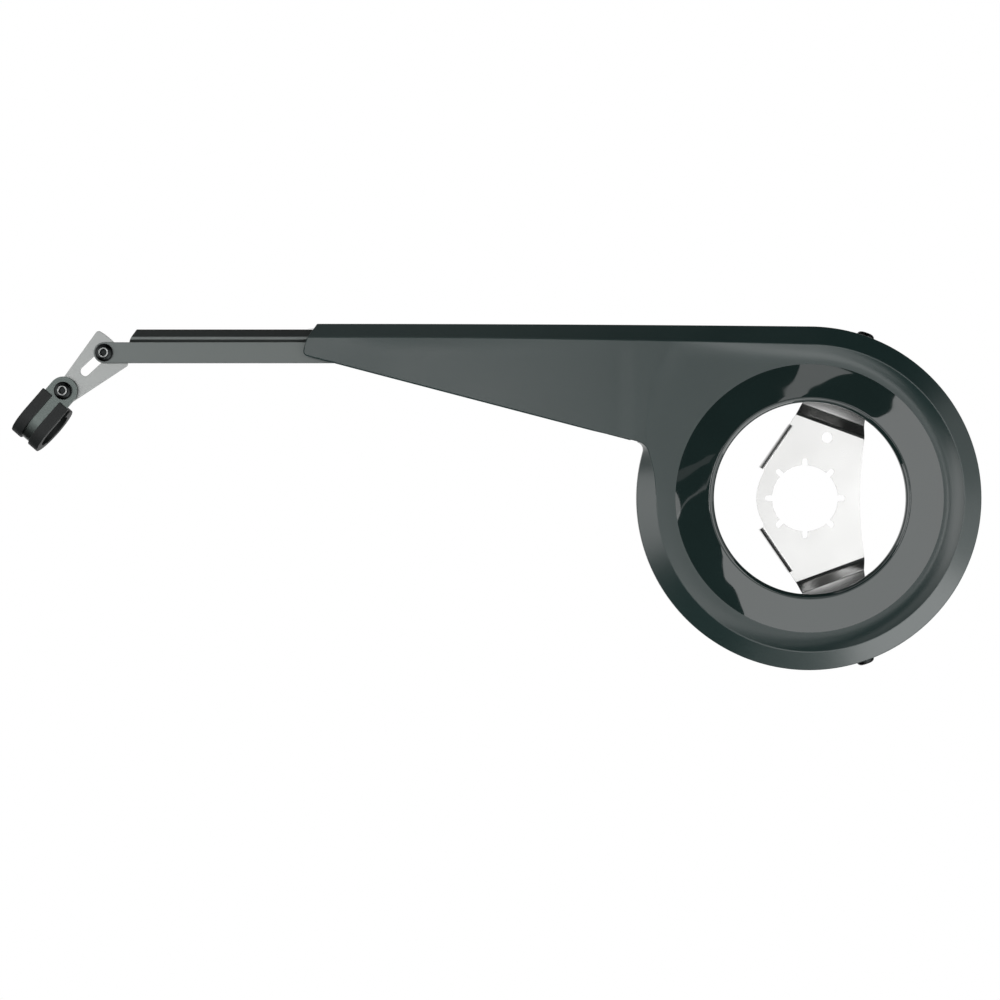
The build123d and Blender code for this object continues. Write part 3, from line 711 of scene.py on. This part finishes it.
def ring_of(radius, height, count=48):
    """Ring of points round Z; radius and height may be functions of the angle."""
    ring = []
    for i in range(count + 1):
        turn = tau * i / count
        r = radius(turn) if callable(radius) else radius
        h = height(turn) if callable(height) else height
        ring.append(Vector((r * cos(turn), r * sin(turn), h)))
    return ring


def hexagon(flat):
    """Radius of a hexagon at an angle, for its width across the flats."""
    return lambda turn: flat / 2 / cos((turn % (pi / 3)) - pi / 6)


def thread_rings(radius, depth, pitch, start, end, rings_per_turn=6):
    """Rings of a helical thread along Z, which fades in and out."""
    count = int(abs(end - start) / pitch * rings_per_turn)
    rings = []
    for i in range(count + 1):
        height = start + (end - start) * i / count
        fade = min(1, 4 * i / count, 4 * (count - i) / count)

        def crest(turn, height=height, fade=fade):
            phase = (height / pitch + turn / tau) % 1
            return radius - depth * fade * abs(2 * phase - 1)

        rings.append(ring_of(crest, height))
    return rings


def capped(rings):
    """Rings of points with both ends closed to their middles."""
    first, last = ([sum(ring[:-1], Vector()) / (len(ring) - 1)] * len(ring) for ring in (rings[0], rings[-1]))
    return [first, *rings, last]


def finish_solid(mesh, place):
    """Join the seams of a closed form and put it in its place."""
    bmesh.ops.remove_doubles(mesh, verts=mesh.verts, dist=1e-7)
    bmesh.ops.dissolve_degenerate(mesh, edges=mesh.edges, dist=1e-8)
    bmesh.ops.recalc_face_normals(mesh, faces=mesh.faces)
    mesh.transform(place)
    return mesh


def seat(place, axis):
    """Transform that puts a piece's seat at a place with its Z along an axis."""
    return Matrix.Translation(place) @ Vector(axis).to_track_quat("Z", "Y").to_matrix().to_4x4()


def button_screw(size, place):
    """Button-head screw: domed head with a flat ring round its hexagon socket, and a threaded shank."""
    mesh = bmesh.new()
    side = 0.2 * size.head_height
    edge = 0.1 * side
    dome_steps = 8
    rings = [ring_of(size.head_radius - edge, 0), ring_of(size.head_radius, edge)]
    for i in range(dome_steps + 1):
        turn = i / dome_steps * pi / 2
        radius = size.ring_radius + (size.head_radius - size.ring_radius) * cos(turn)
        rings.append(ring_of(radius, side + (size.head_height - side) * sin(turn)))
    socket = hexagon(size.socket_flat)
    chamfer = 0.1 * size.head_height
    rings.append(ring_of(size.sink_radius, size.head_height))
    rings.append(ring_of(socket, size.head_height - chamfer))
    rings.append(ring_of(socket, size.head_height - size.socket_depth))
    thread = thread_rings(size.radius, 0.55 * size.pitch, size.pitch, -2 * size.pitch, -size.shank)
    thread.append(ring_of(0.75 * size.radius, -size.shank))
    shank = [ring_of(size.radius, 0)] + thread
    grid_faces(mesh, capped(shank[::-1] + rings))
    finish_solid(mesh, Matrix())
    # The flat ring is coloured lighter, a painted highlight of the light it reflects; it is the screw's
    # second material.
    for face in mesh.faces:
        middle = face.calc_center_median()
        if middle.z > size.head_height - 0.1 * chamfer and middle.xy.length < size.ring_radius:
            face.material_index = 1
    mesh.transform(place)
    return mesh


def cross_screw(size, place):
    """Pan-head screw with a cross recess, driven into plastic."""
    mesh = bmesh.new()
    radius, height = size.lock_head_radius, size.lock_head_height
    arm_half = 0.1 * radius

    def cross(turn):
        side = turn % (pi / 2)
        side = min(side, pi / 2 - side)
        return min(arm_half / max(sin(side), 1e-4), 0.5 * radius)

    edge, side = 0.05 * height, 0.35 * height
    dome_steps = 5
    rings = [ring_of(radius - edge, 0), ring_of(radius, edge), ring_of(radius, side)]
    for i in range(1, dome_steps + 1):
        turn = i / dome_steps * pi / 2
        rings.append(ring_of(radius * (0.6 + 0.4 * cos(turn)), side + (height - side) * sin(turn)))
    rings.append(ring_of(cross, height))
    rings.append(ring_of(lambda turn: 0.8 * cross(turn), 0.5 * height))
    thread = thread_rings(
        size.lock_radius, size.lock_thread, size.lock_pitch, -size.lock_neck, -size.lock_shank
    )
    thread.append(ring_of(0.4 * size.lock_radius, -size.lock_shank))
    shank = [ring_of(size.lock_radius, 0)] + thread
    grid_faces(mesh, capped(shank[::-1] + rings))
    return finish_solid(mesh, place)


def hexagon_nut(size, place):
    """Hexagon nut with chamfered corners and a threaded bore."""
    mesh = bmesh.new()
    outline = hexagon(size.nut_flat)
    face_radius = 0.48 * size.nut_flat
    chamfer_slope = tan(radians(30))

    def drop(turn):
        return (outline(turn) - face_radius) * chamfer_slope

    bore = size.radius + size.nut_play
    sink, thread, height = size.nut_sink, size.nut_thread, size.nut_height
    rings = [ring_of(bore + sink, 0), ring_of(face_radius, 0), ring_of(outline, drop)]
    rings.append(ring_of(outline, lambda turn: height - drop(turn)))
    rings += [ring_of(face_radius, height), ring_of(bore + sink, height)]
    threads = thread_rings(bore + thread, thread, size.pitch, height - sink, sink)
    grid_faces(mesh, rings + threads + rings[:1])
    return finish_solid(mesh, place)


# Operators


class ChainGuardShell(bpy.types.Operator):
    """Build the moulded shell with its polished collar, and the pad inside its arm"""

    bl_idname = "chain_guard.shell"
    bl_label = "Shell"

    def execute(self, context):
        size, arm, tones = settings("shell"), settings("arm"), settings("colours")
        satin = satin_moulding(tones.shell)
        finishes = [satin, polished_moulding(tones.collar), cut_edge(tones.shell)]
        shell = piece_from(shell_mesh(size, arm), "moulded_shell", finishes, "guard")
        wall = shell.modifiers.new("wall", "SOLIDIFY")
        wall.thickness = size.wall
        wall.offset = -1
        wall.use_even_offset = True
        wall.use_quality_normals = True
        wall.material_offset_rim = TRIMMED
        soften(shell, size.edge_round, limit_degrees=25)
        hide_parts("guard_shell")
        low, high, middle = corners(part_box("rail_lock_washer"))
        pad_out = -low.y + arm.rail_wall + arm.slide_gap
        pad = bmesh.new()
        depth = ShellForm(size, arm).crest_out(middle.x) - size.wall / 2 - pad_out
        bmesh.ops.create_cube(pad, size=1)
        bmesh.ops.scale(pad, verts=pad.verts, vec=(arm.pad_length, depth, arm.pad_height))
        bmesh.ops.translate(pad, verts=pad.verts, vec=(middle.x, -pad_out - depth / 2, middle.z))
        block = piece_from(pad, "arm_pad", [satin], "guard")
        soften(block, size.edge_round / 2)
        return {"FINISHED"}


def rim_axis(size, side):
    """Outward axis of the rim's upper (1) or lower (-1) screw."""
    return Vector((cos(size.rim_angle), 0, side * sin(size.rim_angle)))


def screw_places(size):
    """Seat, axis and body of every button-head screw, from the boxes of their CAD nodes."""
    places = {}
    for node, body in (("slot_screw", "pivot_bolt"), ("clip_screw", "clip")):
        low, high, middle = corners(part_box(node))
        places[node] = (Vector((middle.x, low.y + size.head_height, middle.z)), (0, -1, 0), body)
    for node, side in (("upper_rim_screw", 1), ("lower_rim_screw", -1)):
        low, high, middle = corners(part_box(node))
        axis = rim_axis(size, side)
        places[node] = (axis * size.rim_seat + Vector((0, middle.y, 0)), axis, "guard")
    return places


def nut_places(size):
    """Seat, axis and body of every nut, from the boxes of their CAD nodes."""
    places = {}
    for node, body in (("slot_nut", "pivot_bolt"), ("clip_nut", "clip")):
        low, high, middle = corners(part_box(node))
        places[node] = (Vector((middle.x, low.y, middle.z)), (0, 1, 0), body)
    for node, side in (("upper_rim_nut", 1), ("lower_rim_nut", -1)):
        low, high, middle = corners(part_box(node))
        axis = -rim_axis(size, side)
        places[node] = (middle - axis * size.nut_height / 2, axis, "guard")
    return places


class ChainGuardScrews(bpy.types.Operator):
    """Build the black button-head screws and the rail's lock screw"""

    bl_idname = "chain_guard.screws"
    bl_label = "Screws"

    def execute(self, context):
        size, edges, tones = settings("screws"), settings("edges"), settings("colours")
        oxide = black_oxide(tones.screw)
        # Lighter steel on the flat ring of each head: a painted highlight.
        ring_highlight = rolled_metal("steel_ring_painted_highlight", tones.plate, 0.3, stretch=1.0, depth_mm=0.002)
        for node, (place, axis, body) in screw_places(size).items():
            mesh = button_screw(size, seat(place, axis))
            screw = piece_from(mesh, node + "_finished", [oxide, ring_highlight], body)
            soften(screw, edges.screw, limit_degrees=50, segments=2)
            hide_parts(node)
        low, high, middle = corners(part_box("rail_lock_screw"))
        mesh = cross_screw(size, seat((middle.x, high.y - size.lock_head_height, middle.z), (0, 1, 0)))
        lock = piece_from(mesh, "rail_lock_screw_finished", [oxide], "guard")
        soften(lock, edges.nut, limit_degrees=50, segments=2)
        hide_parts("rail_lock_screw")
        return {"FINISHED"}


class ChainGuardNuts(bpy.types.Operator):
    """Build the zinc-plated nuts"""

    bl_idname = "chain_guard.nuts"
    bl_label = "Nuts"

    def execute(self, context):
        size = settings("screws")
        zinc = rolled_metal("bright_zinc_nut", settings("colours").plate, 0.3, stretch=1.0)
        for node, (place, axis, body) in nut_places(size).items():
            mesh = hexagon_nut(size, seat(place, axis))
            nut = piece_from(mesh, node + "_finished", [zinc], body)
            soften(nut, settings("edges").nut, limit_degrees=40, segments=2)
            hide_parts(node)
        return {"FINISHED"}


def finish_node(node, material, edge, limit_degrees=30, inset=0.0):
    """Give a CAD piece its material and softened edges; its mesh stays as it is."""
    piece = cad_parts[node]
    for holder in piece.material_slots:
        holder.link = "OBJECT"
        holder.material = material
    piece.modifiers.new("weld", "WELD").merge_threshold = 1e-6
    flatten = piece.modifiers.new("flatten", "DECIMATE")
    flatten.decimate_type = "DISSOLVE"
    flatten.angle_limit = radians(1)
    soften(piece, edge, limit_degrees, segments=2)
    if inset:
        shrink = piece.modifiers.new("inset", "DISPLACE")
        shrink.mid_level = 0
        shrink.strength = -inset


class ChainGuardMetal(bpy.types.Operator):
    """Finish the bracket, the rail, the link plate, the strap and the washers"""

    bl_idname = "chain_guard.metal"
    bl_label = "Metalwork"

    def execute(self, context):
        tones, edges = settings("colours"), settings("edges")
        zinc = rolled_metal("bright_zinc_steel_pressed", tones.zinc, 0.25, line_mm=0.5, depth_mm=0.002)
        plate = rolled_metal("zinc_steel_rolled_plate", tones.plate, 0.34)
        strap = rolled_metal("zinc_steel_strip", tones.strap, 0.34)
        rail = rolled_metal("anodised_aluminium_extruded", tones.rail, 0.4, line_mm=0.45, stretch=0.02)
        finish_node("bb_bracket", zinc, edges.bracket, limit_degrees=70)
        finish_node("link_plate", plate, edges.plate)
        finish_node("clip_strap", strap, edges.strap)
        finish_node("extension_rail", rail, edges.plate)
        finish_node("slot_washer", plate, edges.washer)
        finish_node("rail_lock_washer", plate, edges.washer, inset=settings("arm").slide_gap)
        return {"FINISHED"}


class ChainGuardRubber(bpy.types.Operator):
    """Finish the rubber lining of the clip"""

    bl_idname = "chain_guard.rubber"
    bl_label = "Rubber lining"

    def execute(self, context):
        finish_node("clip_lining", moulded_rubber(settings("colours").rubber), settings("edges").lining)
        return {"FINISHED"}


# Lamps that one stretch of the guard sees: place, width, height and watts per square metre of lamp.
LAMPS = {
    "arm_card": ((-0.85, -4.0, 0.3), 0.4, 1.0, 26.0),
    "rail_lamp": ((-1.13, -1.45, 0.05), 0.85, 1.0, 8.0),
}
# Panels round the ring. Each has an edge near the view axis and an edge far from it: how far off the axis
# the edge is and from where to where it turns about the axis, in degrees. The last value is the radiance;
# a panel without radiance is a dark cloth.
PANELS = {
    "collar_panel": ((16, -146, 52), (44, -62, 34), 3.0),
    "collar_card": ((22, 86, 93), (35, 57, 81), 1.7),
    "lower_bevel_panel": ((48, 288, 336), (88, 288, 336), 4.2),
    "right_bevel_panel": ((50, -24, 2), (85, -24, 2), 1.8),
    "left_bevel_panel": ((50, 150, 202), (78, 150, 202), 2.8),
    "corner_panel": ((78, 140, 200), (130, 140, 200), 0.8),
    "collar_patch_card": ((19.5, 147, 155), (25, 163, 171), 0.4),
    "cove_panel": ((40, 240, 300), (54, 240, 300), 2.2),
    "arm_cloth": ((3, 95, 185), (9.5, 105, 168), 0),
    "upper_cloth": ((16, 34, 96), (100, 34, 96), 0),
    "upper_left_cloth": ((16, 96, 160), (46, 96, 248), 0),
    "rail_panel": ((60, 101, 130), (100, 101, 130), 0.35),
    "lower_left_cloth": ((16, 162, 254), (46, 250, 254), 0),
    "lower_bevel_cloth": ((46, 181, 254), (100, 181, 254), 0),
    "side_cloth": ((86, 0, 360), (130, 0, 360), 0),
}


def area_lamp(name, place, width, height, power):
    """Soft rectangular lamp that faces the ring; its power is given per square metre."""
    data = bpy.data.lights.new(name, "AREA")
    data.shape = "RECTANGLE"
    data.size = width
    data.size_y = height
    data.energy = power * width * height
    lamp = bpy.data.objects.new(name, data)
    bpy.context.collection.objects.link(lamp)
    lamp.location = place
    lamp.rotation_euler = (-Vector(place)).to_track_quat("-Z", "Y").to_euler()
    lamp.visible_camera = False


def studio_world(fill_strength):
    """White round the guard for the camera, for mirrors and glass; a plain soft fill otherwise."""
    world = bpy.data.worlds.new("studio")
    bpy.context.scene.world = world
    world.use_nodes = True
    tree = world.node_tree
    tree.nodes.clear()
    path = add_node(tree, "ShaderNodeLightPath")
    seen = add_node(
        tree, "ShaderNodeMath", operation="MAXIMUM",
        inputs={0: path.outputs["Is Camera Ray"], 1: path.outputs["Is Glossy Ray"]},
    )
    seen = add_node(
        tree, "ShaderNodeMath", operation="MAXIMUM",
        inputs={0: seen.outputs[0], 1: path.outputs["Is Transmission Ray"]},
    )
    fill = add_node(tree, "ShaderNodeBackground", {"Color": (1, 1, 1, 1), "Strength": fill_strength})
    white = add_node(tree, "ShaderNodeBackground", {"Color": (1, 1, 1, 1), "Strength": 1.0})
    mix = add_node(
        tree, "ShaderNodeMixShader",
        {0: seen.outputs[0], 1: fill.outputs["Background"], 2: white.outputs["Background"]},
    )
    add_node(tree, "ShaderNodeOutputWorld", {"Surface": mix.outputs["Shader"]})


def panel_mesh(radius, near_edge, far_edge, count=36):
    """Part of a sphere round the guard, between an edge near the view axis and one far from it."""
    mesh = bmesh.new()
    rows = []
    for i in range(count + 1):
        tilt, start, end = (radians(a + (b - a) * i / count) for a, b in zip(near_edge, far_edge))
        turns = [start + (end - start) * j / count for j in range(count + 1)]
        rows.append([radius * Vector((sin(tilt) * cos(t), -cos(tilt), sin(tilt) * sin(t))) for t in turns])
    grid_faces(mesh, rows)
    return mesh


class ChainGuardStage(bpy.types.Operator):
    """Set the camera, the lamps, the panels and cloths, the floor and the white background"""

    bl_idname = "chain_guard.stage"
    bl_label = "Studio"

    def execute(self, context):
        stage, tones = settings("stage"), settings("colours")
        scene = context.scene
        scene.view_settings.view_transform = "Standard"
        data = bpy.data.cameras.new("camera")
        data.lens = stage.lens_mm
        data.sensor_width = 36
        camera = bpy.data.objects.new("camera", data)
        camera.location = (stage.camera_x, stage.camera_y, stage.camera_z)
        camera.rotation_euler = (pi / 2, 0, 0)
        context.collection.objects.link(camera)
        scene.camera = camera
        studio_world(stage.fill)

        mesh = bmesh.new()
        half = stage.floor_size / 2
        outline = [(-half, 0), (half, 0), (half, stage.floor_size), (-half, stage.floor_size)]
        mesh.faces.new([
            mesh.verts.new((stage.camera_x + x, stage.floor_back - y, stage.floor_z)) for x, y in outline
        ])
        bmesh.ops.recalc_face_normals(mesh, faces=mesh.faces)
        floor_board = object_from(mesh, "floor", [painted_floor(tones.floor)])

        cloth = dark_cloth(tones.cloth)
        for name, (*spread, radiance) in PANELS.items():
            mesh = panel_mesh(stage.panel_reach if radiance else stage.cloth_reach, *spread)
            panel = object_from(mesh, name, [lit_diffuser(name, radiance) if radiance else cloth])
            panel.visible_camera = False
            panel.visible_diffuse = radiance > 0
            panel.visible_shadow = False

        for name, lamp in LAMPS.items():
            area_lamp(name, *lamp)
        return {"FINISHED"}


class ChainGuardPanel(bpy.types.Panel):
    """Pieces of the chain guard, in the order in which they are made"""

    bl_idname = "VIEW3D_PT_chain_guard"
    bl_label = "Chain Guard"
    bl_space_type = "VIEW_3D"
    bl_region_type = "UI"
    bl_category = "Chain Guard"

    def draw(self, context):
        for operator in OPERATORS:
            self.layout.operator(operator.bl_idname)
        for name, group in GROUPS.items():
            box = self.layout.box()
            box.label(text=name.capitalize())
            for prop in group.__annotations__:
                box.prop(settings(name), prop)


GROUPS = {
    "shell": ShellSizes,
    "arm": ArmSizes,
    "screws": ScrewSizes,
    "edges": EdgeSizes,
    "colours": FinishColours,
    "stage": StageSizes,
}
OPERATORS = (
    ChainGuardShell, ChainGuardScrews, ChainGuardNuts, ChainGuardMetal, ChainGuardRubber, ChainGuardStage
)


def register():
    for cls in (*GROUPS.values(), *OPERATORS, ChainGuardPanel):
        bpy.utils.register_class(cls)
    for name, group in GROUPS.items():
        setattr(bpy.types.Scene, "chain_guard_" + name, PointerProperty(type=group))


def unregister():
    for name in GROUPS:
        delattr(bpy.types.Scene, "chain_guard_" + name)
    for cls in reversed((*GROUPS.values(), *OPERATORS, ChainGuardPanel)):
        bpy.utils.unregister_class(cls)


def main():
    register()
    bpy.ops.chain_guard.shell()
    bpy.ops.chain_guard.screws()
    bpy.ops.chain_guard.nuts()
    bpy.ops.chain_guard.metal()
    bpy.ops.chain_guard.rubber()
    bpy.ops.chain_guard.stage()


if __name__ == "__main__":
    main()
